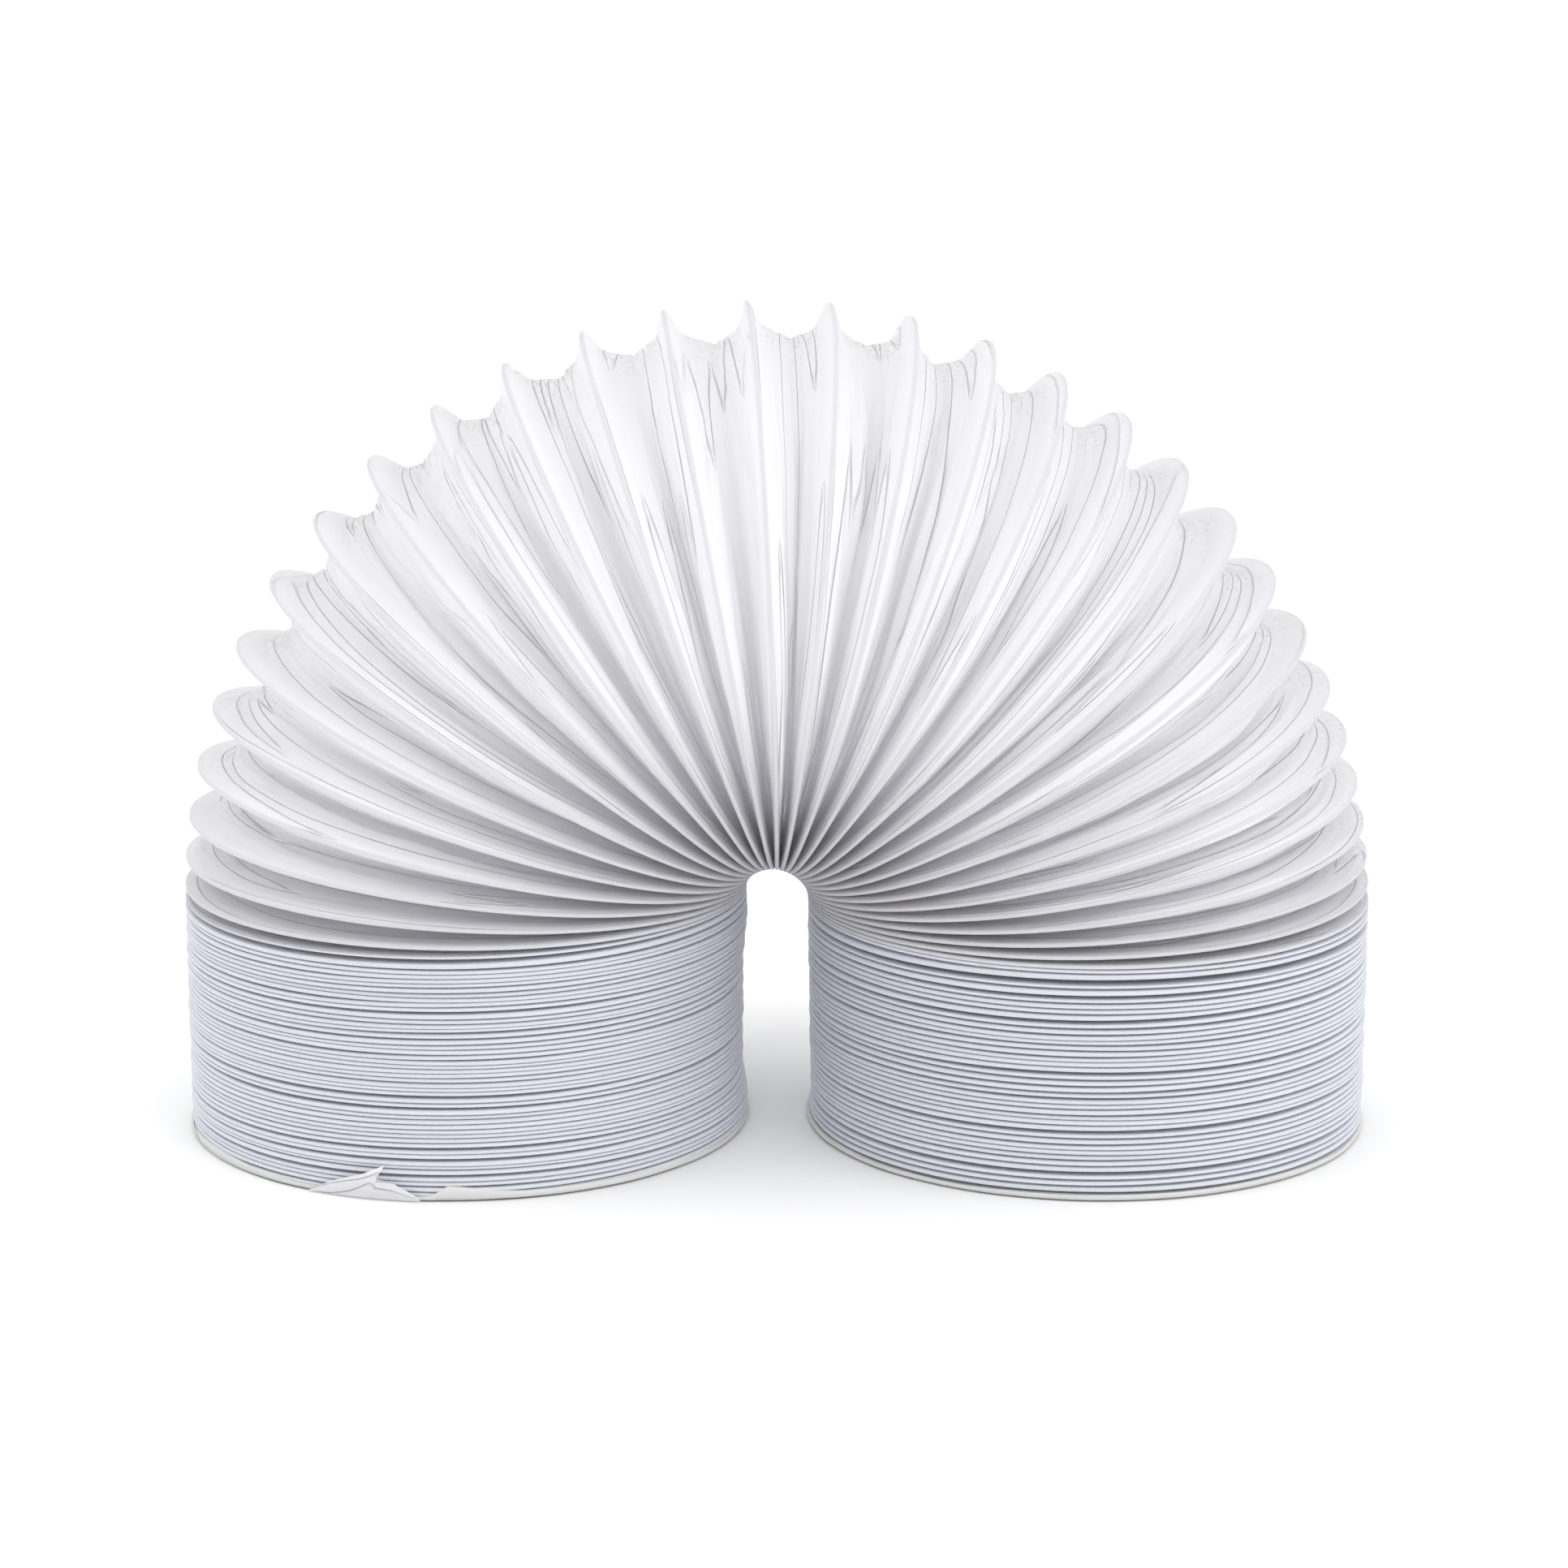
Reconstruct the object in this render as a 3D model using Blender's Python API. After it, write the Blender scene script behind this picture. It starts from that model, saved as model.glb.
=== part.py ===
"""Flexible air duct hose, standing as an arch on its two closed ends.

The hose is one laminated piece: white film wound and bonded over a wire helix.
Each end is a stack of closed turns. Between the stacks the turns open into an arch,
where the film hangs as one pleat between neighbouring turns of the wire.
X runs from the left stack to the right one, Z is up, and the floor is Z = 0.
"""
import math

import bmesh
import bpy
from mathutils import Vector

# The hose, in metres
HOSE_RADIUS = 0.0765
FILM_PER_TURN = 0.031
WALL = 0.0018

# The closed ends, in turns and in metres for each turn
LEFT_TURNS = 47
LEFT_PITCH = 0.001375
RIGHT_TURNS = 38
RIGHT_PITCH = 0.00162

# Turns that stand a little apart in the closed ends, counted down from the arch. Their pitch
# is LOOSE_PITCH times the others', and each leaves a groove round the outside.
LEFT_LOOSE_TURNS = (1, 11, 15, 28, 30, 38, 43)
RIGHT_LOOSE_TURNS = (2, 4, 8, 17, 20, 27, 34, 37)
LOOSE_PITCH = 1.4
GROOVE_WIDTH = 0.0009
GROOVE_DEPTH = 0.0024

# The arch. Its inner edge rises over the gap between the stacks.
ARCH_TURNS = 31
STACK_GAP = 0.0167
ARCH_RISE = 0.0082
LEFT_OPENING_TURNS = 4.7
RIGHT_OPENING_TURNS = 8.8

# A pleat narrower than SHUT_SPACING is folded shut, and one wider than OPEN_SPACING is open
SHUT_SPACING = 0.002
OPEN_SPACING = 0.010

# Facets round one turn, and steps of the tables that the arch is measured with
SEGMENTS = 36
MEASURE_STEPS = 400

FILM_COLOUR = (0.80, 0.80, 0.83, 1.0)
FILM_ROUGHNESS = 0.45

LEFT_HEIGHT = LEFT_TURNS * LEFT_PITCH
RIGHT_HEIGHT = RIGHT_TURNS * RIGHT_PITCH
HALF_GAP = STACK_GAP / 2


def running_sum(values):
    """Return the trapezium sum up to each value, with the whole scaled to one."""
    sums = [0.0]
    for low, high in zip(values, values[1:]):
        sums.append(sums[-1] + (low + high) / 2)
    return [value / sums[-1] for value in sums]


def look_up(table, share):
    """Read an evenly spaced table at a share of its length, from 0 to 1."""
    place = min(max(share, 0.0), 1.0) * (len(table) - 1)
    low = min(int(place), len(table) - 2)
    return table[low] + (table[low + 1] - table[low]) * (place - low)


def opening_rate(turn):
    """Return how fast the turns tilt: slow beside each stack, steady over the arch."""
    from_left = 1 - math.exp(-turn / LEFT_OPENING_TURNS)
    from_right = 1 - math.exp(-(ARCH_TURNS - turn) / RIGHT_OPENING_TURNS)
    return from_left * from_right


def edge_point(angle):
    """Return x and z on the arch's inner edge, half an ellipse between the stacks."""
    share = (1 - math.cos(angle)) / 2
    base = LEFT_HEIGHT + (RIGHT_HEIGHT - LEFT_HEIGHT) * share
    return -HALF_GAP * math.cos(angle), base + ARCH_RISE * math.sin(angle)


def edge_angles():
    """Return the edge's angles at even steps along its length."""
    angles = [math.pi * step / MEASURE_STEPS for step in range(MEASURE_STEPS + 1)]
    points = [edge_point(angle) for angle in angles]
    length = [0.0]
    for low, high in zip(points, points[1:]):
        length.append(length[-1] + math.dist(low, high))
    even = []
    step = 0
    for number in range(MEASURE_STEPS + 1):
        target = length[-1] * number / MEASURE_STEPS
        while step < MEASURE_STEPS - 1 and length[step + 1] < target:
            step += 1
        share = (target - length[step]) / (length[step + 1] - length[step])
        even.append(angles[step] + (angles[step + 1] - angles[step]) * share)
    return even


TILT_TABLE = running_sum(
    [opening_rate(ARCH_TURNS * step / MEASURE_STEPS) for step in range(MEASURE_STEPS + 1)]
)
EDGE_TABLE = edge_angles()


def turn_frame(turn):
    """Return the inner edge point and the outward direction of the hose at a turn."""
    share = turn / ARCH_TURNS
    tilt = math.pi * look_up(TILT_TABLE, share)
    x, z = edge_point(look_up(EDGE_TABLE, share))
    if turn < 0:
        z += turn * LEFT_PITCH
    if turn > ARCH_TURNS:
        z -= (turn - ARCH_TURNS) * RIGHT_PITCH
    return Vector((x, 0, z)), Vector((-math.cos(tilt), 0, math.sin(tilt)))


def hose_point(turn, angle, radius):
    """Return a point of the hose. The angle runs from the outer side to the front."""
    edge, outward = turn_frame(turn)
    across = outward * math.cos(angle) + Vector((0, -math.sin(angle), 0))
    return edge + outward * HOSE_RADIUS + across * radius


def pleat(turn, angle):
    """Return the fold's depth at a turn, and how far it is open, from 0 to 1."""
    before = hose_point(turn - 0.5, angle, HOSE_RADIUS)
    after = hose_point(turn + 0.5, angle, HOSE_RADIUS)
    spacing = (after - before).length
    depth = math.sqrt(max(FILM_PER_TURN ** 2 - spacing ** 2, 0)) / 2
    share = (spacing - SHUT_SPACING) / (OPEN_SPACING - SHUT_SPACING)
    share = min(max(share, 0.0), 1.0)
    return depth, share * share * (3 - 2 * share)


def outer_crest(turn, angle):
    return hose_point(turn, angle, HOSE_RADIUS)


def outer_valley(turn, angle):
    depth, opened = pleat(turn, angle)
    return hose_point(turn, angle, HOSE_RADIUS - depth * opened)


def groove_floor(turn, angle):
    return hose_point(turn, angle, HOSE_RADIUS - GROOVE_DEPTH)


def inner_crest(turn, angle):
    depth, opened = pleat(turn, angle)
    return hose_point(turn, angle, HOSE_RADIUS - WALL - depth * (1 - opened))


def inner_valley(turn, angle):
    depth, opened = pleat(turn, angle)
    return hose_point(turn, angle, HOSE_RADIUS - WALL - depth)


def groove_heights(turns, height, loose):
    """Return the heights of the gaps at the loose turns of a closed end, from the floor up."""
    pitches = [1.0] * turns
    standing_apart = [turns - number for number in loose if number <= turns]
    for place in standing_apart:
        pitches[place] = LOOSE_PITCH
    scale = height / sum(pitches)
    middles = [sum(pitches[:place]) + pitches[place] / 2 for place in standing_apart]
    return sorted(middle * scale for middle in middles)


def ring_at(mesh, turn, place, height):
    """Add a level ring of vertices below one end of the arch."""
    ring = []
    for number in range(SEGMENTS):
        point = place(turn, math.tau * number / SEGMENTS)
        ring.append(mesh.verts.new((point.x, point.y, height)))
    return ring


def end_rings(mesh, turn, place, heights):
    """Add the rings of a closed end's wall, from the floor up, with three for each groove."""
    rings = [ring_at(mesh, turn, place, 0)]
    for height in heights:
        rings.append(ring_at(mesh, turn, place, height - GROOVE_WIDTH / 2))
        rings.append(ring_at(mesh, turn, groove_floor, height))
        rings.append(ring_at(mesh, turn, place, height + GROOVE_WIDTH / 2))
    return rings


def pleated_skin(mesh, crest, valley, outward, left_grooves=(), right_grooves=()):
    """Add one side of the wall and return its two rings on the floor.

    The crests and valleys are two rows of vertices that wind round the hose together.
    """
    crest_count = ARCH_TURNS * SEGMENTS + 1
    valley_count = (ARCH_TURNS - 1) * SEGMENTS + 1
    crests = []
    for number in range(crest_count):
        angle = math.tau * number / SEGMENTS
        crests.append(mesh.verts.new(crest(number / SEGMENTS, angle)))
    valleys = []
    for number in range(valley_count):
        angle = math.tau * number / SEGMENTS
        valleys.append(mesh.verts.new(valley(number / SEGMENTS + 0.5, angle)))

    def face(*corners):
        mesh.faces.new(corners if outward else corners[::-1])

    for number in range(valley_count - 1):
        after = number + SEGMENTS
        face(crests[number], crests[number + 1], valleys[number + 1], valleys[number])
        face(valleys[number], valleys[number + 1], crests[after + 1], crests[after])

    left = end_rings(mesh, 0, crest, left_grooves)
    for below, above in zip(left, left[1:]):
        for number in range(SEGMENTS):
            after = (number + 1) % SEGMENTS
            face(below[number], below[after], above[after], above[number])
    top = left[-1]
    for number in range(SEGMENTS - 1):
        face(top[number], top[number + 1], crests[number + 1], crests[number])
    face(top[-1], top[0], crests[0], valleys[0], crests[SEGMENTS], crests[SEGMENTS - 1])

    right = end_rings(mesh, ARCH_TURNS, crest, right_grooves)
    for below, above in zip(right, right[1:]):
        for number in range(SEGMENTS):
            after = (number + 1) % SEGMENTS
            face(above[number], above[after], below[after], below[number])
    top = right[-1]
    last = crests[-SEGMENTS - 1:]
    face(last[0], last[1], top[1], top[0], last[-1], valleys[-1])
    for number in range(1, SEGMENTS):
        after = (number + 1) % SEGMENTS
        face(last[number], last[number + 1], top[after], top[number])
    return left[0], right[0]


def end_face(mesh, outer, inner, flip):
    """Close one end of the hose with the flat ring that stands on the floor."""
    for number in range(SEGMENTS):
        after = (number + 1) % SEGMENTS
        corners = (outer[number], inner[number], inner[after], outer[after])
        mesh.faces.new(corners[::-1] if flip else corners)


def film_material():
    material = bpy.data.materials.new("white_film")
    material.use_nodes = True
    shader = material.node_tree.nodes["Principled BSDF"]
    shader.inputs["Base Color"].default_value = FILM_COLOUR
    shader.inputs["Roughness"].default_value = FILM_ROUGHNESS
    shader.inputs["Metallic"].default_value = 0.0
    return material


def duct_hose(collection):
    """Loft the hose's wall, from one closed end over the arch to the other."""
    shape = bmesh.new()
    outer_left, outer_right = pleated_skin(
        shape, outer_crest, outer_valley, True,
        groove_heights(LEFT_TURNS, LEFT_HEIGHT, LEFT_LOOSE_TURNS),
        groove_heights(RIGHT_TURNS, RIGHT_HEIGHT, RIGHT_LOOSE_TURNS),
    )
    inner_left, inner_right = pleated_skin(shape, inner_crest, inner_valley, False)
    end_face(shape, outer_left, inner_left, False)
    end_face(shape, outer_right, inner_right, True)
    data = bpy.data.meshes.new("duct_hose")
    shape.to_mesh(data)
    shape.free()
    data.materials.append(film_material())
    hose = bpy.data.objects.new("duct_hose", data)
    collection.objects.link(hose)
    return hose


def main():
    for old in list(bpy.data.objects):
        bpy.data.objects.remove(old, do_unlink=True)
    collection = bpy.data.collections.new("air_duct")
    bpy.context.scene.collection.children.link(collection)
    duct_hose(collection)


main()
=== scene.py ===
"""Looks of the flexible air duct hose: its pleated film, closed ends, hems and a torn flap.

The film is laid out over the turns of the wire helix. A place on it is a turn of the wire,
which also gives the angle round the hose, and a share of the way to the next turn.
Angle 0 is the outer side of the arch, and a quarter turn on is the front.
"""
import math

import bpy
import numpy as np
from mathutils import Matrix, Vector


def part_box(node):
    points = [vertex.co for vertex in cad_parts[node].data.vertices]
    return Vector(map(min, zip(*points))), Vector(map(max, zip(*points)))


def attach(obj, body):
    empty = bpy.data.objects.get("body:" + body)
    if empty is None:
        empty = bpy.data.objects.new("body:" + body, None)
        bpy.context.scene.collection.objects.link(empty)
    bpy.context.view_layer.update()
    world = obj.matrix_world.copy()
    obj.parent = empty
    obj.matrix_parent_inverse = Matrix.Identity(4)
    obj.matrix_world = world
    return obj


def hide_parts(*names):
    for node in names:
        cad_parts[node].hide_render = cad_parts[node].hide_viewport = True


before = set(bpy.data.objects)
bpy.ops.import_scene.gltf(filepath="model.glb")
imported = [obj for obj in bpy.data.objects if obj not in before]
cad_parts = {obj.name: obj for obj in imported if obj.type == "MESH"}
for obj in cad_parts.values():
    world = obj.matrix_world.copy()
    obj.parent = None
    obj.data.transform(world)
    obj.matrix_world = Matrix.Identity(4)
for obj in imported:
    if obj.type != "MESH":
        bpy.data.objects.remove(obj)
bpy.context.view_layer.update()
NODE = "duct_hose"
node_low, node_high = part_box(NODE)

# The hose, in metres, as in the solid
HOSE_RADIUS = (node_high[1] - node_low[1]) / 2
HALF_GAP = node_high[0] - 2 * HOSE_RADIUS
FILM_PER_TURN = 0.031
LEFT_TURNS = 47
LEFT_PITCH = 0.001375
RIGHT_TURNS = 38
RIGHT_PITCH = 0.00162
ARCH_TURNS = 31
ARCH_RISE = 0.0082
LEFT_OPENING_TURNS = 4.7
RIGHT_OPENING_TURNS = 8.8
LEFT_HEIGHT = LEFT_TURNS * LEFT_PITCH
RIGHT_HEIGHT = RIGHT_TURNS * RIGHT_PITCH
FIRST_TURN = -LEFT_TURNS
LAST_TURN = ARCH_TURNS + RIGHT_TURNS
MEASURE_STEPS = 800

# Turns that stand a little apart in the closed ends, counted down from the arch. Their pitch is
# LOOSE_PITCH times the others', or TOP_LOOSE_PITCH times for the top turns.
LEFT_LOOSE_TURNS = (1, 11, 15, 28, 30, 38, 43)
RIGHT_LOOSE_TURNS = (2, 4, 8, 17, 20, 27, 34, 37)
LOOSE_PITCH = 1.4
TOP_LOOSE_PITCH = 2.0
TOP_TURNS = 2
PITCH_SPREAD = 0.07

# How uneven the closed ends are, in metres: turns that lie high or low singly and in groups,
# that stand out or in and are dented, and the waist where each end faces the other
SINGLE_RISE = 0.00027
GROUPED_RISE = 0.00045
SHIFTED_OUT = 0.00030
DENTED_OUT = 0.00008
LEFT_WAIST = 0.0013
LEFT_WAIST_TURNS = (-42, -36, -14, -7)
LEFT_WAIST_SHARES = (0, 1, 0.8, 0)
RIGHT_WAIST = 0.0009
RIGHT_WAIST_TURNS = (ARCH_TURNS + 3, LAST_TURN - 6, LAST_TURN)
RIGHT_WAIST_SHARES = (0, 1, 0.9)
WAIST_WIDTH = 0.09

# The bead of film over the wire, in bead radii from the wire's crest: along the hose and inward.
# It is larger and flatter where the turns are further apart than in the closed ends.
BEAD_SPACINGS = (0.005, 0.011)
BEAD_RADII = (0.00052, 0.00062)
BEAD_DEPTHS = (1.0, 0.30)
BEAD_ROWS = ((0.0, 0.0), (0.52, 0.14), (0.86, 0.50), (1.0, 1.0), (1.04, 1.8))
BEAD_SHARE = 0.42

# How much painted shade over the wire each of those rows takes, darkening the beads' light
WIRE_SHADE_SHARES = (1.0, 1.0, 0.8, 0.45, 0.2)

# How far the film sags at these spacings of the turns, as a share of its full fold
SAG_SPACINGS = (0.004, 0.012, 0.020)
SAG_SHARES = (1.0, 0.93, 0.96)

# The section of a pleat. Widths and shifts are shares of the pleat, and RIM_PLACES are turns
# from the arch's outer side, between which the section changes.
WIDENING_SPACINGS = (0.004, 0.010)
VALLEY_SHIFT = 0.07
VALLEY_BLUNTNESS = 0.03
CUSP_WIDTH = 0.075
CUSP_SPACINGS = (0.004, 0.010, 0.018)
CUSP_SHARES = (0.0, 0.15, 0.60)
CUSP_AT_RIM = (1.0, 0.35)
RIM_PLACES = (0.05, 0.16)
CREST_WIDTHS = (0.035, 0.07)
BULGE_TURNS = (8.5, 13.5)
BULGES = (0.1, 0.60)
BULGE_RIM_PLACES = (0.06, 0.16)
BULGE_SPACINGS = (0.003, 0.007)

# The long folds on each side of a turn: how many there are, and the share of them that starts
# at the pleat's valley, at these turns of the arch
FOLD_TURNS = (0, 12, 20, 31)
FOLD_COUNTS = (8, 10, 16, 15)
VALLEY_FOLD_TURNS = (0, 10, 16)
VALLEY_FOLD_SHARES = (0.65, 0.5, 0.2)

# Each fold's start and end in turns from the arch's outer side, its place across the pleat and
# how far that drifts, and the widths of its gentle and steep sides, as ranges. Its height is in
# metres, and a wide fold is higher.
FOLD_STARTS = (0.02, 0.20)
FOLD_ENDS = (0.20, 0.42)
FOLD_LEAST_LENGTH = 0.08
FOLD_PLACES = (0.07, 0.45)
FOLD_DRIFTS = (-0.02, 0.16)
VALLEY_FOLD_PLACES = (0.40, 0.5)
VALLEY_FOLD_DRIFTS = (-0.34, -0.10)
GENTLE_WIDTHS = (0.06, 0.22)
NARROW_WIDTHS = (0.03, 0.06)
STEEP_WIDTHS = (0.028, 0.05)
FOLD_HEIGHT = 0.0003
FOLD_HEIGHT_BY_WIDTH = 0.0052
FOLD_WAVE = 0.012

# Heights of the film's smaller relief, in metres, and how far it is held flat beside a wire
SWELL_HEIGHT = 0.0006
RIPPLE_HEIGHT = 0.00020
CRUMPLE_HEIGHT = 0.00055
HELD_SHARE = 0.07
FREE_SPACING = 0.012

# The crumples lie within this part of a turn from the arch's outer side, and are this strong
CRUMPLE_REACH = 0.12
CRUMPLE_TURNS = (0, 3, 10, 16, 31)
CRUMPLE_SHARES = (0.7, 1, 1, 0.5, 0.5)

SEED = 7


def table_along(values, places):
    """Return the running sum of values, scaled to one, for np.interp at places."""
    sums = np.concatenate([[0.0], np.cumsum((values[1:] + values[:-1]) / 2)])
    return places, sums / sums[-1]


def arch_tilt():
    """The tilt of the turns over the arch, as turns and shares of a half turn."""
    turns = np.linspace(0, ARCH_TURNS, MEASURE_STEPS + 1)
    rate = 1 - np.exp(-turns / LEFT_OPENING_TURNS)
    rate *= 1 - np.exp(-(ARCH_TURNS - turns) / RIGHT_OPENING_TURNS)
    return table_along(rate, turns)


def arch_edge():
    """The arch's inner edge at even steps along it, as turns, x and z."""
    angle = np.linspace(0, np.pi, MEASURE_STEPS + 1)
    share = (1 - np.cos(angle)) / 2
    x = -HALF_GAP * np.cos(angle)
    z = LEFT_HEIGHT + (RIGHT_HEIGHT - LEFT_HEIGHT) * share + ARCH_RISE * np.sin(angle)
    length = np.concatenate([[0.0], np.cumsum(np.hypot(np.diff(x), np.diff(z)))])
    return length / length[-1] * ARCH_TURNS, x, z


def stack_heights(turns, height, loose, seed):
    """Heights of the wire at each whole turn of a closed end, from its floor up."""
    rng = np.random.default_rng(seed)
    pitch = 1 + rng.uniform(-PITCH_SPREAD, PITCH_SPREAD, turns)
    for number in loose:
        pitch[turns - number] *= TOP_LOOSE_PITCH if number <= TOP_TURNS else LOOSE_PITCH
    return np.concatenate([[0.0], np.cumsum(pitch)]) / pitch.sum() * height


TILT_TURNS, TILT_SHARES = arch_tilt()
EDGE_TURNS, EDGE_X, EDGE_Z = arch_edge()
LEFT_Z = stack_heights(LEFT_TURNS, LEFT_HEIGHT, LEFT_LOOSE_TURNS, SEED)
RIGHT_Z = stack_heights(RIGHT_TURNS, RIGHT_HEIGHT, RIGHT_LOOSE_TURNS, SEED + 1)

# Cells of the noise before it repeats
LATTICE_SIZE = 512


def smooth_noise(u, v, seed, period=None):
    """Smooth noise from -1 to 1 on a plane, repeating along u where a period is given."""
    cell_u, cell_v = np.floor(u).astype(int), np.floor(v).astype(int)
    part_u, part_v = u - cell_u, v - cell_v
    part_u = part_u ** 2 * (3 - 2 * part_u)
    part_v = part_v ** 2 * (3 - 2 * part_v)
    lattice = np.random.default_rng(seed).uniform(-1, 1, (LATTICE_SIZE, LATTICE_SIZE))

    def corner(i, j):
        column = (cell_u + i) % (period or LATTICE_SIZE)
        return lattice[column, (cell_v + j) % LATTICE_SIZE]

    low = corner(0, 0) * (1 - part_u) + corner(1, 0) * part_u
    high = corner(0, 1) * (1 - part_u) + corner(1, 1) * part_u
    return low * (1 - part_v) + high * part_v


def closed_share(turn):
    """How far a turn belongs to a closed end: 0 in the arch and on the floor, and 1 between."""
    left = np.clip(-turn / 2, 0, 1) * np.clip((turn - FIRST_TURN) / 2, 0, 1)
    right = np.clip((turn - ARCH_TURNS) / 2, 0, 1) * np.clip((LAST_TURN - turn) / 2, 0, 1)
    return left + right


def uneven_rise(turn, around):
    """How far the closed turns stand above or below their even places, in metres."""
    single = smooth_noise(around * 7, turn * 0.8, SEED + 30, 7)
    grouped = smooth_noise(around * 4, turn * 0.16, SEED + 31, 4)
    return closed_share(turn) * (SINGLE_RISE * single + GROUPED_RISE * grouped)


def uneven_radius(turn, around):
    """How far the closed turns stand out or in, in metres."""
    shifted = smooth_noise(around * 3, turn * 0.9, SEED + 32, 3)
    dented = smooth_noise(around * 26, turn * 0.9, SEED + 33, 26)
    beside_gap = np.exp(-((around - 0.5) / WAIST_WIDTH) ** 2)
    left_waist = np.interp(turn, LEFT_WAIST_TURNS, LEFT_WAIST_SHARES)
    right_waist = np.interp(turn, RIGHT_WAIST_TURNS, RIGHT_WAIST_SHARES)
    waist = beside_gap * (LEFT_WAIST * left_waist + RIGHT_WAIST * right_waist)
    return closed_share(turn) * (SHIFTED_OUT * shifted + DENTED_OUT * dented - waist)


def hose_points(turn, angle, depth):
    """Points at a depth below the crests, with the turns of the closed ends slightly uneven."""
    around = (angle / math.tau) % 1
    tilt = np.pi * np.interp(turn, TILT_TURNS, TILT_SHARES)
    x = np.interp(turn, EDGE_TURNS, EDGE_X)
    z = np.interp(turn, EDGE_TURNS, EDGE_Z)
    left = turn < 0
    right = turn > ARCH_TURNS
    z = np.where(left, np.interp(turn + LEFT_TURNS, np.arange(LEFT_TURNS + 1), LEFT_Z), z)
    z = np.where(right, np.interp(LAST_TURN - turn, np.arange(RIGHT_TURNS + 1), RIGHT_Z), z)
    z = z + uneven_rise(turn, around)
    outward_x, outward_z = -np.cos(tilt), np.sin(tilt)
    radius = HOSE_RADIUS - depth + uneven_radius(turn, around)
    across = np.cos(angle) * radius
    return np.stack([
        x + outward_x * (HOSE_RADIUS + across),
        -np.sin(angle) * radius,
        z + outward_z * (HOSE_RADIUS + across),
    ], -1)


def film_rows(spacing, film_steps):
    """Shares across one pleat, and how deep the bead goes at each, for each place along it.

    The bead's rows keep their real width where the pleat is wide, and share it where it is not.
    """
    bead_radius = np.interp(spacing, BEAD_SPACINGS, BEAD_RADII)
    half_bead = np.minimum(bead_radius, BEAD_SHARE * spacing)
    near = np.stack([half_bead / spacing * along for along, _ in BEAD_ROWS], -1)
    drop = half_bead * np.interp(spacing, BEAD_SPACINGS, BEAD_DEPTHS)
    near_depth = np.stack([drop * inward for _, inward in BEAD_ROWS], -1)
    start = near[:, -1:]
    middle = np.linspace(0, 1, film_steps + 1)[1:-1]
    shares = np.concatenate([near, start + (1 - 2 * start) * middle, 1 - near[:, ::-1]], 1)
    across = (shares - start) / (1 - 2 * start)
    bead = np.concatenate(
        [near_depth, np.repeat(near_depth[:, -1:], film_steps - 1, 1), near_depth[:, ::-1]], 1)
    return shares, np.clip(across, 0, 1), bead


def pleat_depth(spacing):
    """How far the film sags between two turns: nearly to its full fold where they are close."""
    fold = np.sqrt(np.maximum(FILM_PER_TURN ** 2 - spacing ** 2, 0)) / 2
    return fold * np.interp(spacing, SAG_SPACINGS, SAG_SHARES)


def film_depth(turn, spacing, across, bead):
    """Depth of the smooth film below the crests over one stretch of pleats.

    A narrow pleat is a plain V. A wide one drops steeply off each wire to a shallow fold at the
    arch's outer side. At its front and back it bulges beside each wire, down to a narrow crease.
    """
    deep = pleat_depth(spacing)[:, None]
    widening = np.interp(spacing, WIDENING_SPACINGS, [0, 1])
    shift = VALLEY_SHIFT * smooth_noise(turn * 2.7, turn * 0.31, SEED + 2)[:, None]
    shift = shift * widening[:, None]
    moved = across + shift * 4 * across * (1 - across)
    near = math.hypot(0.5, VALLEY_BLUNTNESS) - np.hypot(moved - 0.5, VALLEY_BLUNTNESS)
    near = np.maximum(near, 0) * 0.5 / (math.hypot(0.5, VALLEY_BLUNTNESS) - VALLEY_BLUNTNESS)
    cusp = 1 - np.exp(-(near / CUSP_WIDTH) ** 1.5)
    from_rim = np.minimum(turn % 1, 1 - turn % 1)
    part = np.interp(spacing, CUSP_SPACINGS, CUSP_SHARES)
    part = (part * np.interp(from_rim, RIM_PLACES, CUSP_AT_RIM))[:, None]
    crest = np.interp(from_rim, RIM_PLACES, CREST_WIDTHS)
    crest = (crest * widening + 1e-4)[:, None]
    slope = (np.hypot(near, crest) - crest) / (np.hypot(0.5, crest) - crest)
    bulge = np.interp(turn, BULGE_TURNS, BULGES) * np.interp(from_rim, BULGE_RIM_PLACES, [0, 1])
    bulge = (bulge * np.interp(spacing, BULGE_SPACINGS, [0, 1]))[:, None]
    slope = slope ** (1 + bulge) * (1 - 0.5 * bulge)
    sag = part * cusp + (1 - part) * slope
    return bead + (deep - bead.max(1, keepdims=True)) * sag


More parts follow.
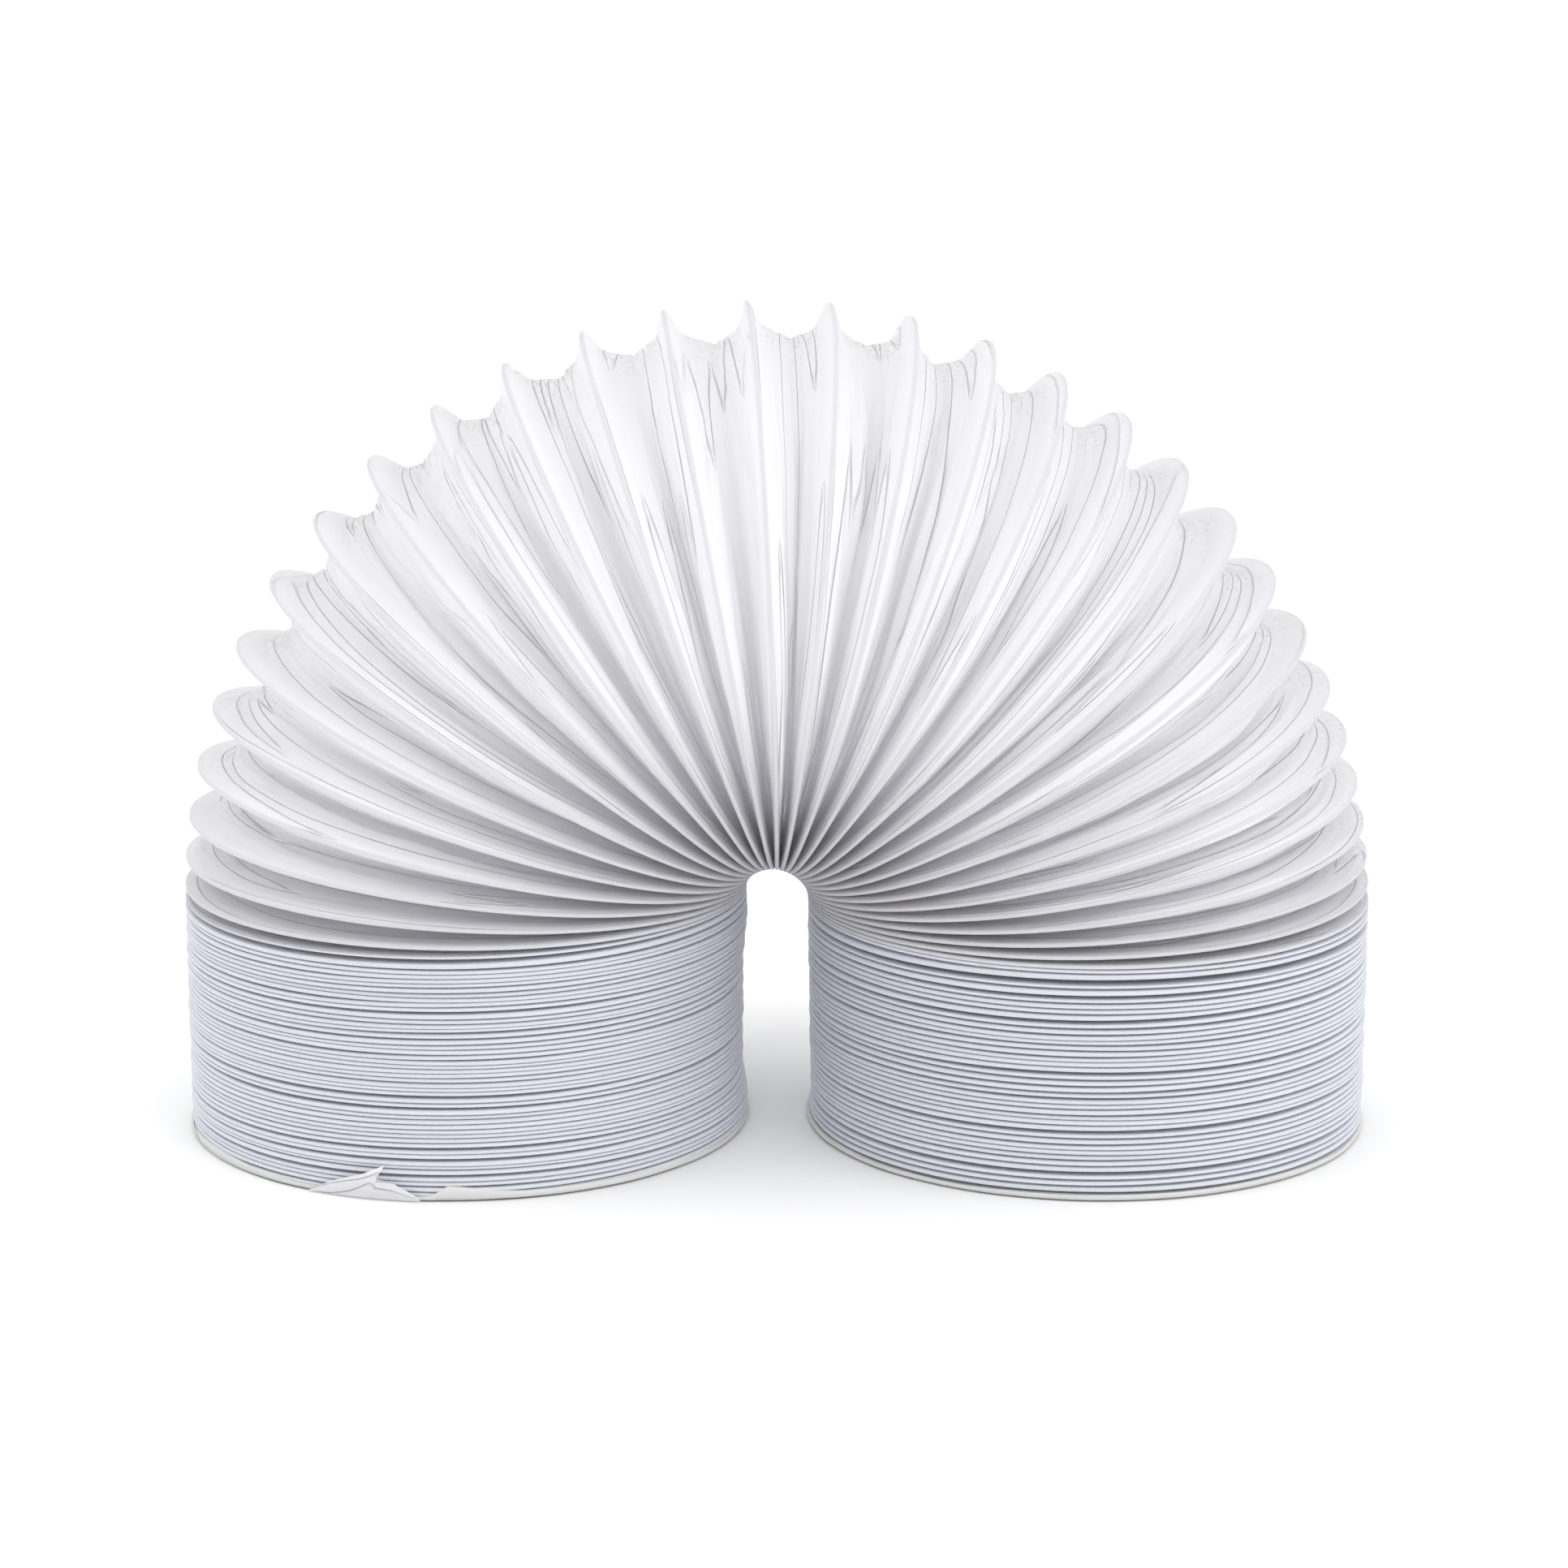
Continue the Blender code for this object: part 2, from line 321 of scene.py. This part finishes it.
def folds(turn, across, first, last):
    """Long folds that fan out from the wires, gentle on one side and steep on the other."""
    rng = np.random.default_rng(SEED + 20)
    extra = np.zeros_like(across)
    for whole in range(-1, ARCH_TURNS + 1):
        count = int(np.interp(whole, FOLD_TURNS, FOLD_COUNTS))
        from_valley = np.interp(whole, VALLEY_FOLD_TURNS, VALLEY_FOLD_SHARES)
        for front in (True, False):
            for _ in range(count):
                start, end = rng.uniform(*FOLD_STARTS), rng.uniform(*FOLD_ENDS)
                end = max(end, start + FOLD_LEAST_LENGTH)
                place = rng.uniform(*FOLD_PLACES)
                drift = rng.uniform(*FOLD_DRIFTS)
                if rng.uniform() < from_valley:
                    start = start * 0.5 + 0.01
                    place = rng.uniform(*VALLEY_FOLD_PLACES)
                    drift = rng.uniform(*VALLEY_FOLD_DRIFTS)
                gentle, steep = rng.uniform(*GENTLE_WIDTHS), rng.uniform(*STEEP_WIDTHS)
                if rng.uniform() < 0.5:
                    gentle = rng.uniform(*NARROW_WIDTHS)
                height = rng.uniform(0.3, 1.0) * (FOLD_HEIGHT + FOLD_HEIGHT_BY_WIDTH * gentle)
                mirrored, hollow, turned = rng.uniform(size=3) < 0.5
                low_turn = whole + start if front else whole + 1 - end
                high_turn = whole + end if front else whole + 1 - start
                if high_turn < first or low_turn > last:
                    continue
                low, high = np.searchsorted(turn, [low_turn, high_turn])
                if high - low < 3:
                    continue
                along = (turn[low:high] - low_turn) / (high_turn - low_turn)
                from_rim = along if front else 1 - along
                line = place + drift * from_rim + FOLD_WAVE * np.sin(along * 9 + place * 40)
                line = 1 - line if mirrored else line
                off = across[low:high] - line[:, None]
                off = -off if turned else off
                rise = np.clip(1 + off / gentle, 0, 1) ** 1.6
                fall = np.clip(1 - off / steep, 0, 1)
                shape = np.where(off < 0, rise, fall)
                fade = np.sin(np.pi * np.clip(along, 0, 1)) ** 0.7
                extra[low:high] += (-height if hollow else height) * fade[:, None] * shape
    return extra


def film_relief(turn, spacing, across, first, last):
    """Folds, swells and crumples of the open film, in metres along its surface normal."""
    hold = np.clip(np.minimum(across, 1 - across) / HELD_SHARE, 0, 1)
    room = np.clip(spacing / FREE_SPACING, 0, 1)[:, None]
    along = turn[:, None]
    swell = smooth_noise(along * 9, across * 2.3 + along * 0.37, SEED + 3)
    ripple = smooth_noise(along * 26, across * 6 + along * 0.9, SEED + 5)
    angle = along % 1
    rim = np.exp(-(np.minimum(angle, 1 - angle) / CRUMPLE_REACH) ** 2)
    rim = rim * np.interp(turn, CRUMPLE_TURNS, CRUMPLE_SHARES)[:, None]
    crumple = smooth_noise(along * 66 + across * 9, across * 8 - along * 14, SEED + 4)
    crumple = np.clip(1 - np.abs(crumple) * 3, 0, 1)
    height = SWELL_HEIGHT * swell + RIPPLE_HEIGHT * ripple + CRUMPLE_HEIGHT * rim * crumple
    height = height + folds(turn, across, first, last)
    return height * hold * room


def surface_normals(points):
    """Unit normals over a grid of points."""
    normal = np.cross(np.gradient(points, axis=0), np.gradient(points, axis=1))
    return normal / np.maximum(np.linalg.norm(normal, axis=-1, keepdims=True), 1e-15)


def grid_corners(values):
    """The values at each cell's four corners, over a grid of points, indices or shares."""
    return [values[:-1, :-1], values[1:, :-1], values[1:, 1:], values[:-1, 1:]]


# Turns of film that are laid out past each end of a piece, so that its normals carry on there
MARGIN_TURNS = 1.25
LEAST_SPACING = 0.0004


def film_mesh(name, first, last, segments, film_steps, relief):
    """Build the film from one turn to another, with normals that carry on past its ends."""
    margin_first = max(first - MARGIN_TURNS, FIRST_TURN)
    margin_last = min(last + MARGIN_TURNS, LAST_TURN)
    steps = int(round((margin_last - margin_first) * segments))
    turn = margin_first + np.arange(steps + 1) / segments
    angle = (turn % 1) * math.tau
    near = hose_points(turn, angle, 0.0)
    after = hose_points(turn + 1, angle, 0.0)
    spacing = np.maximum(np.linalg.norm(after - near, axis=1), LEAST_SPACING)
    rows, across, bead = film_rows(spacing, film_steps)
    depth = film_depth(turn, spacing, across, bead)
    places = turn[:, None] + rows
    points = hose_points(places, np.repeat(angle[:, None], rows.shape[1], 1), depth)
    if relief:
        height = film_relief(turn, spacing, across, margin_first, margin_last)
        points = points + surface_normals(points) * height[..., None]

    # The last column is the next turn's first one, and has points of its own only at the end
    columns = rows.shape[1] - 1
    open_end = steps + 1 - segments
    index = np.arange((steps + 1) * columns).reshape(steps + 1, columns)
    index = np.concatenate([index, np.zeros((steps + 1, 1), int)], 1)
    index[:open_end, columns] = index[segments:, 0]
    index[open_end:, columns] = (steps + 1) * columns + np.arange(segments)
    flat = np.concatenate([points[:, :columns].reshape(-1, 3), points[open_end:, columns]])
    quads = np.stack(grid_corners(index), -1)[:open_end]
    normals = point_normals(flat, quads.reshape(-1, 4))

    low = int(round((first - margin_first) * segments))
    high = int(round((last - margin_first) * segments))
    kept = quads[low:high].reshape(-1, 4)
    used, kept = np.unique(kept, return_inverse=True)
    kept = kept.reshape(-1, 4)
    length = np.stack([turn[:-1], turn[1:], turn[1:], turn[:-1]], -1)[:, None, :]
    length = np.broadcast_to(length, (steps, columns, 4))[low:high]
    cross = np.stack(grid_corners(across), -1)[low:high]
    layout = np.stack([length * math.tau * HOSE_RADIUS, cross * FILM_PER_TURN], -1).reshape(-1, 2)

    shares = {}
    for label, values in colour_and_painted_shade_shares(turn, spacing).items():
        values = np.concatenate([np.repeat(values, columns), values[open_end:]])
        shares[label] = values[used]
    # Painted shade over the wire's bead, fading across the pleat
    wire = np.zeros(columns)
    wire[:len(WIRE_SHADE_SHARES)] = WIRE_SHADE_SHARES
    wire[1 - len(WIRE_SHADE_SHARES):] = WIRE_SHADE_SHARES[:0:-1]
    shares["wire"] = np.concatenate([np.tile(wire, steps + 1), np.ones(segments)])[used]
    return mesh_object(name, flat[used], kept, normals[used], layout, shares)


# Where the film's colours and its painted shade change: turns from the arch's outer side,
# spacings of the turns in metres, below which a colour or painted shade starts and over which it
# grows, and turns from the closed ends
OUTER_REACH = 0.05
DENSE_BELOW = 0.012
DENSE_RANGE = 0.010
SHUT_BELOW = 0.0036
SHUT_RANGE = 0.0016
SHUT_REACH = 2.5


def colour_and_painted_shade_shares(turn, spacing):
    """How far the film lies at the arch's outer side, in close pleats that take painted shade,
    and folded shut.
    """
    rim = np.exp(-(np.minimum(turn % 1, 1 - turn % 1) / OUTER_REACH) ** 2)
    # Painted shade: close pleats are greyed, standing in for the shade between them
    dense = np.clip((DENSE_BELOW - spacing) / DENSE_RANGE, 0, 1)
    left = np.clip(1 - turn / SHUT_REACH, 0, 1)
    right = np.clip(1 - (ARCH_TURNS - turn) / SHUT_REACH, 0, 1)
    shut = np.maximum(left, right) * np.clip((SHUT_BELOW - spacing) / SHUT_RANGE, 0, 1)
    return {"rim": rim, "dense": dense, "shut": shut}


def point_normals(points, quads):
    """Unit normals at the points of a mesh of quads, each face weighted by its area."""
    corner = points[quads]
    face_normal = np.cross(corner[:, 2] - corner[:, 0], corner[:, 3] - corner[:, 1])
    normals = np.zeros_like(points)
    for number in range(4):
        np.add.at(normals, quads[:, number], face_normal)
    return normals / np.maximum(np.linalg.norm(normals, axis=1, keepdims=True), 1e-12)


def mesh_object(name, points, quads, normals, layout, shares):
    """Make an object from points, quads, point normals, film coordinates and named shares."""
    data = bpy.data.meshes.new(name)
    data.vertices.add(len(points))
    data.vertices.foreach_set("co", points.astype(np.float32).ravel())
    data.loops.add(quads.size)
    data.loops.foreach_set("vertex_index", quads.astype(np.int32).ravel())
    data.polygons.add(len(quads))
    data.polygons.foreach_set("loop_start", np.arange(0, quads.size, 4, dtype=np.int32))
    data.update(calc_edges=True)
    layer = data.uv_layers.new(name="film")
    layer.data.foreach_set("uv", layout.astype(np.float32).ravel())
    for label, values in shares.items():
        layer = data.attributes.new(label, "FLOAT", "POINT")
        layer.data.foreach_set("value", values.astype(np.float32))
    data.shade_smooth()
    data.normals_split_custom_set_from_vertices(normals.tolist())
    data.validate()
    made = bpy.data.objects.new(name, data)
    bpy.context.scene.collection.objects.link(made)
    return made


# Spacing of a sheet's columns in its film coordinates, in metres
SHEET_STEP = 0.002


def sheet_mesh(name, points, closed):
    """Build a sheet from a grid of points, with its rows joined into rings where it is closed."""
    rows, columns = points.shape[:2]
    index = np.arange(rows * columns).reshape(rows, columns)
    if closed:
        index = np.concatenate([index, index[:1]])
    quads = np.stack(grid_corners(index), -1).reshape(-1, 4)
    flat = points.reshape(-1, 3)
    along = np.arange(index.shape[0]) * SHEET_STEP
    step = np.linalg.norm(np.diff(points, axis=1), axis=-1).mean(0)
    cross = np.concatenate([[0.0], np.cumsum(step)])
    corners = np.stack(np.meshgrid(along, cross, indexing="ij"), -1)
    layout = np.stack(grid_corners(corners), -2)
    normals = point_normals(flat, quads)
    return mesh_object(name, flat, quads, normals, layout.reshape(-1, 2), {})


def end_points(side, angle, radius, height):
    """Points round a closed end: side is -1 at the left and 1 at the right."""
    middle = side * (HALF_GAP + HOSE_RADIUS)
    return np.stack([middle + side * np.cos(angle) * radius, -np.sin(angle) * radius, height], -1)


# The hem under each closed end, from its inner edge on the floor to the edge that laps over
# the last turns: distance out from the crests, in metres, and share of the hem's height
HEM_ROWS = (
    (-0.0150, 0.0), (-0.0100, 0.02), (-0.0055, 0.0), (-0.0020, 0.0), (-0.0006, 0.03),
    (0.0001, 0.12), (0.00038, 0.32), (0.00042, 0.62), (0.00034, 0.85), (0.00010, 0.97),
    (-0.0006, 1.0),
)
HEM_SEGMENTS = 240
HEM_LIFT = 0.00005
HEM_LEAST_HEIGHT = 0.0006
HEM_EDGE_WAVE = 0.00035
HEM_LOOSENESS = 0.00016

# The hem's height in metres at these shares of the way round each end
LEFT_HEM = (
    (0.0, 0.0022), (0.10, 0.0024), (0.16, 0.0012), (0.24, 0.0012), (0.25, 0.0042),
    (0.29, 0.0022), (0.36, 0.0018), (0.5, 0.0012), (0.75, 0.0022),
)
RIGHT_HEM = ((0.0, 0.0016), (0.25, 0.0019), (0.5, 0.0012), (0.75, 0.0020))


def hem_mesh(name, side, edge, seed):
    """The film's free end, folded under a closed end, with an uneven upper edge."""
    around = np.arange(HEM_SEGMENTS) / HEM_SEGMENTS
    places, heights = zip(*edge)
    top = np.interp(around, places, heights, period=1)
    top = top + HEM_EDGE_WAVE * smooth_noise(around * 21, 0.0, seed, 21)
    top = np.maximum(top, HEM_LEAST_HEIGHT)
    out = np.array([row[0] for row in HEM_ROWS])[None]
    share = np.array([row[1] for row in HEM_ROWS])[None]
    loose = HEM_LOOSENESS * smooth_noise(around * 34, 5.0, seed + 1, 34)[:, None]
    height = top[:, None] * share + HEM_LIFT
    radius = HOSE_RADIUS + out + loose * np.clip(share * 3, 0, 1)
    angle = np.repeat(around[:, None] * math.tau, len(HEM_ROWS), 1)
    points = end_points(side, angle, radius, height)
    if side > 0:
        points = points[::-1]
    return sheet_mesh(name, points, True)


# The torn flap at the left end's front: degrees round the end at the flap's foot and at its
# upper edge, and the upper edge's height in metres
FLAP_EDGE = (
    (61.7, 61.7, 0.0004), (66.0, 66.9, 0.0039), (69.5, 73.6, 0.0070), (71.5, 78.3, 0.0101),
    (75.5, 76.0, 0.0056), (79.0, 79.7, 0.0049), (84.7, 84.7, 0.0009),
)
FLAP_COLUMNS = 60
FLAP_ROWS = 14
FLAP_LIFT = 0.0001
FLAP_STAND = 0.0009
FLAP_LEAN = 0.0004
FLAP_CURL = 16
FLAP_RIPPLE = 0.00012
FLAP_WAVE = 0.0003


def flap_mesh(name):
    """The torn corner of film that lies against the left end, its tip curling away."""
    corners = np.arange(len(FLAP_EDGE))
    number = np.linspace(0, len(FLAP_EDGE) - 1, FLAP_COLUMNS + 1)
    foot, edge, height = (np.interp(number, corners, row) for row in zip(*FLAP_EDGE))
    up = np.linspace(0, 1, FLAP_ROWS + 1)[None]
    angle = np.radians(foot[:, None] * (1 - up) + edge[:, None] * up)
    rise = height[:, None] * up + FLAP_LIFT
    wave = np.sin(number[:, None] * 2.2 + up * 2)
    ripple = FLAP_RIPPLE * np.sin(angle * 60) + FLAP_WAVE * wave
    out = FLAP_STAND + FLAP_LEAN * up + FLAP_CURL * rise ** 2 + ripple * np.sqrt(up)
    return sheet_mesh(name, end_points(-1, angle, HOSE_RADIUS + out, rise), False)


def math_node(tree, operation, first, second):
    """Add a maths node whose inputs are sockets or numbers, and return its output."""
    node = tree.nodes.new("ShaderNodeMath")
    node.operation = operation
    for socket, value in zip(node.inputs, (first, second)):
        if isinstance(value, (int, float)):
            socket.default_value = value
        else:
            tree.links.new(value, socket)
    return node.outputs[0]


def named_share(tree, label):
    """Add a node that reads one of the mesh's named shares, and return its output."""
    node = tree.nodes.new("ShaderNodeAttribute")
    node.attribute_name = label
    return node.outputs["Fac"]


def noise_cloud(tree, layout, scale, detail):
    """Noise over the film, with its own scale along the wire and across it."""
    stretch = tree.nodes.new("ShaderNodeMapping")
    stretch.inputs["Scale"].default_value = (*scale, 1)
    tree.links.new(layout, stretch.inputs["Vector"])
    noise = tree.nodes.new("ShaderNodeTexNoise")
    noise.noise_dimensions = "2D"
    noise.inputs["Scale"].default_value = 1.0
    noise.inputs["Detail"].default_value = detail
    noise.inputs["Roughness"].default_value = 0.55
    tree.links.new(stretch.outputs["Vector"], noise.inputs["Vector"])
    return noise.outputs["Fac"]


def noise_lines(tree, layout, scale, width):
    """Thin lines where stretched noise crosses its middle, from 0 on a line to 1 off it."""
    lines = math_node(tree, "SUBTRACT", noise_cloud(tree, layout, scale, 0.0), 0.5)
    lines = math_node(tree, "ABSOLUTE", lines, 0.0)
    spread = tree.nodes.new("ShaderNodeMapRange")
    spread.interpolation_type = "SMOOTHSTEP"
    spread.inputs["From Max"].default_value = width
    tree.links.new(lines, spread.inputs["Value"])
    return spread.outputs["Result"]


def mixed_colour(tree, label, first, second):
    """Blend from a first colour or socket to a second colour by a named share of the mesh."""
    mix = tree.nodes.new("ShaderNodeMix")
    mix.data_type = "RGBA"
    if isinstance(first, tuple):
        mix.inputs["A"].default_value = first
    else:
        tree.links.new(first, mix.inputs["A"])
    mix.inputs["B"].default_value = second
    tree.links.new(named_share(tree, label), mix.inputs["Factor"])
    return mix.outputs["Result"]


# The film's colours: open, along the outer side of the arch, painted shade between pleats that
# are close together, painted shade over the wire, folded shut in the closed ends, and at the hems
OPEN_TINT = (0.942, 0.938, 0.960, 1)
RIM_TINT = (0.940, 0.938, 0.944, 1)
PAINTED_DENSE_SHADE = (0.900, 0.890, 0.928, 1)
PAINTED_WIRE_SHADE = (0.775, 0.770, 0.800, 1)
SHUT_TINT = (0.918, 0.938, 0.995, 1)
HEM_TINT = (0.92, 0.92, 0.91, 1)

# The film's finish. Scales of its noise are for a metre along the wire and across it, and the
# heights are shares of the material's relief.
SEE_THROUGH = 0.42
SPECULAR = 0.4
LEAST_ROUGHNESS = 0.32
MOST_ROUGHNESS = 0.52
BROAD_SCALE = (24, 420)
BROAD_DETAIL = 2.0
BROAD_HEIGHT = 0.28
CREASE_SCALE = (7, 160)
CREASE_WIDTH = 0.022
CREASE_HEIGHT = 0.50
CRUMPLE_SCALE = (230, 260)
CRUMPLE_WIDTH = 0.07
CRUMPLE_BUMP = 0.25

# The deepest bump, in metres, of the open film, of the closed ends and of the hems
OPEN_RELIEF = 0.001
STACK_RELIEF = 0.00015
HEM_RELIEF = 0.0015


def film_material(name, tint, relief, creased):
    """Soft white film: satin, a little see-through, with fine creases along the wire.

    The mesh's named shares say where painted shade greys it over the wire and in close pleats,
    and where it is bluer, folded shut.
    """
    material = bpy.data.materials.new(name)
    material.use_nodes = True
    tree = material.node_tree
    nodes, links = tree.nodes, tree.links
    shader = nodes["Principled BSDF"]
    shader.inputs["Specular IOR Level"].default_value = SPECULAR
    layout = nodes.new("ShaderNodeUVMap")
    layout.uv_map = "film"
    layout = layout.outputs["UV"]

    broad = noise_cloud(tree, layout, BROAD_SCALE, BROAD_DETAIL)
    height = math_node(tree, "MULTIPLY", broad, BROAD_HEIGHT)
    if creased:
        crease = noise_lines(tree, layout, CREASE_SCALE, CREASE_WIDTH)
        crease = math_node(tree, "MULTIPLY", crease, CREASE_HEIGHT)
        crumple = noise_lines(tree, layout, CRUMPLE_SCALE, CRUMPLE_WIDTH)
        crumple = math_node(tree, "MULTIPLY", crumple, named_share(tree, "rim"))
        crumple = math_node(tree, "MULTIPLY", crumple, CRUMPLE_BUMP)
        height = math_node(tree, "ADD", height, crease)
        height = math_node(tree, "ADD", height, crumple)
    bump = nodes.new("ShaderNodeBump")
    bump.inputs["Distance"].default_value = relief
    links.new(height, bump.inputs["Height"])
    links.new(bump.outputs["Normal"], shader.inputs["Normal"])

    gloss = nodes.new("ShaderNodeMapRange")
    gloss.inputs["To Min"].default_value = LEAST_ROUGHNESS
    gloss.inputs["To Max"].default_value = MOST_ROUGHNESS
    links.new(broad, gloss.inputs["Value"])
    links.new(gloss.outputs["Result"], shader.inputs["Roughness"])

    colour = mixed_colour(tree, "rim", tint, RIM_TINT)
    # Painted shade in close pleats greys the film's colour
    colour = mixed_colour(tree, "dense", colour, PAINTED_DENSE_SHADE)
    # Painted shade over the wire's beads darkens their colour
    colour = mixed_colour(tree, "wire", colour, PAINTED_WIRE_SHADE)
    colour = mixed_colour(tree, "shut", colour, SHUT_TINT)
    links.new(colour, shader.inputs["Base Color"])
    through = nodes.new("ShaderNodeBsdfTranslucent")
    links.new(colour, through.inputs["Color"])
    blend = nodes.new("ShaderNodeMixShader")
    blend.inputs["Fac"].default_value = SEE_THROUGH
    links.new(shader.outputs["BSDF"], blend.inputs[1])
    links.new(through.outputs["BSDF"], blend.inputs[2])
    links.new(blend.outputs["Shader"], nodes["Material Output"].inputs["Surface"])
    return material


# The camera that the photograph's turns of wire were measured with
IMAGE_SIZE = 1932
FOCAL_PIXELS = 4719
SENSOR_WIDTH = 36.0
CAMERA_PLACE = (0.00184, -1.0174, 0.3254)
CAMERA_PITCH = 12.86


def add_camera():
    data = bpy.data.cameras.new("camera")
    data.sensor_width = SENSOR_WIDTH
    data.lens = FOCAL_PIXELS / IMAGE_SIZE * SENSOR_WIDTH
    camera = bpy.data.objects.new("camera", data)
    camera.location = CAMERA_PLACE
    camera.rotation_euler = (math.radians(90 - CAMERA_PITCH), 0, 0)
    bpy.context.scene.collection.objects.link(camera)
    bpy.context.scene.camera = camera


# The studio: a pale floor just below the hose, an even sky, and a wide sun from each side, with
# its direction, its width in degrees and its strength
FLOOR_SIZE = 60
FLOOR_DROP = 0.0002
FLOOR_COLOUR = (0.95, 0.95, 0.95, 1)
FLOOR_ROUGHNESS = 0.8
FLOOR_SPECULAR = 0.1
SKY_COLOUR = (1, 1, 1, 1)
SKY_STRENGTH = 1.05
SUNS = (("left", (-1.0, 0.10, 0.8), 60, 0.75), ("right", (1.0, -0.55, 0.8), 60, 1.00))

# Light is followed for at most MOST_BOUNCES. From SKY_BOUNCE on, a ray that goes SKY_DISTANCE
# metres freely counts as reaching the sky.
MOST_BOUNCES = 4
SKY_BOUNCE = 2
SKY_DISTANCE = 0.008


def add_floor():
    bpy.ops.mesh.primitive_plane_add(size=FLOOR_SIZE, location=(0, 0, -FLOOR_DROP))
    floor = bpy.context.object
    floor.name = "floor"
    paper = bpy.data.materials.new("pale_floor")
    paper.use_nodes = True
    shader = paper.node_tree.nodes["Principled BSDF"]
    shader.inputs["Base Color"].default_value = FLOOR_COLOUR
    shader.inputs["Roughness"].default_value = FLOOR_ROUGHNESS
    shader.inputs["Specular IOR Level"].default_value = FLOOR_SPECULAR
    floor.data.materials.append(paper)


def add_sun(name, toward, spread, strength):
    """Add a wide soft light that shines from far away, from the side that toward points to."""
    data = bpy.data.lights.new(name, "SUN")
    data.angle = math.radians(spread)
    data.energy = strength
    light = bpy.data.objects.new(name, data)
    light.location = toward
    light.rotation_euler = Vector(toward).to_track_quat("Z", "Y").to_euler()
    bpy.context.scene.collection.objects.link(light)


def add_studio():
    add_floor()
    scene = bpy.context.scene
    world = bpy.data.worlds.new("studio")
    world.use_nodes = True
    sky = world.node_tree.nodes["Background"]
    sky.inputs["Color"].default_value = SKY_COLOUR
    sky.inputs["Strength"].default_value = SKY_STRENGTH
    world.light_settings.distance = SKY_DISTANCE
    scene.world = world
    scene.view_settings.view_transform = "Standard"
    scene.cycles.max_bounces = MOST_BOUNCES
    scene.cycles.use_fast_gi = True
    scene.cycles.fast_gi_method = "REPLACE"
    scene.cycles.ao_bounces_render = SKY_BOUNCE
    for sun in SUNS:
        add_sun(*sun)


# The turns where one length of film meets the next
LEFT_JOIN = -0.25
CROWN_START = 9.75
CROWN_END = 19.75
RIGHT_JOIN = ARCH_TURNS + 0.75

# Segments round a turn and steps across a pleat in the closed ends
END_SEGMENTS = 144
END_STEPS = 4


def main():
    film = film_material("film", OPEN_TINT, OPEN_RELIEF, True)
    stack_film = film_material("stack_film", OPEN_TINT, STACK_RELIEF, False)
    hem_film = film_material("hem_film", HEM_TINT, HEM_RELIEF, True)
    pieces = [
        (film_mesh("film_left_end", FIRST_TURN, LEFT_JOIN, END_SEGMENTS, END_STEPS, False),
         stack_film),
        (film_mesh("film_arch_left", LEFT_JOIN, CROWN_START, 200, 30, True), film),
        (film_mesh("film_arch_crown", CROWN_START, CROWN_END, 200, 34, True), film),
        (film_mesh("film_arch_right", CROWN_END, RIGHT_JOIN, 180, 32, True), film),
        (film_mesh("film_right_end", RIGHT_JOIN, LAST_TURN - 1, END_SEGMENTS, END_STEPS, False),
         stack_film),
        (hem_mesh("film_left_hem", -1, LEFT_HEM, SEED + 40), hem_film),
        (hem_mesh("film_right_hem", 1, RIGHT_HEM, SEED + 44), hem_film),
        (flap_mesh("film_torn_flap"), film),
    ]
    for piece, material in pieces:
        piece.data.materials.append(material)
        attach(piece, "root")
        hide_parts(NODE)
    add_camera()
    add_studio()


main()
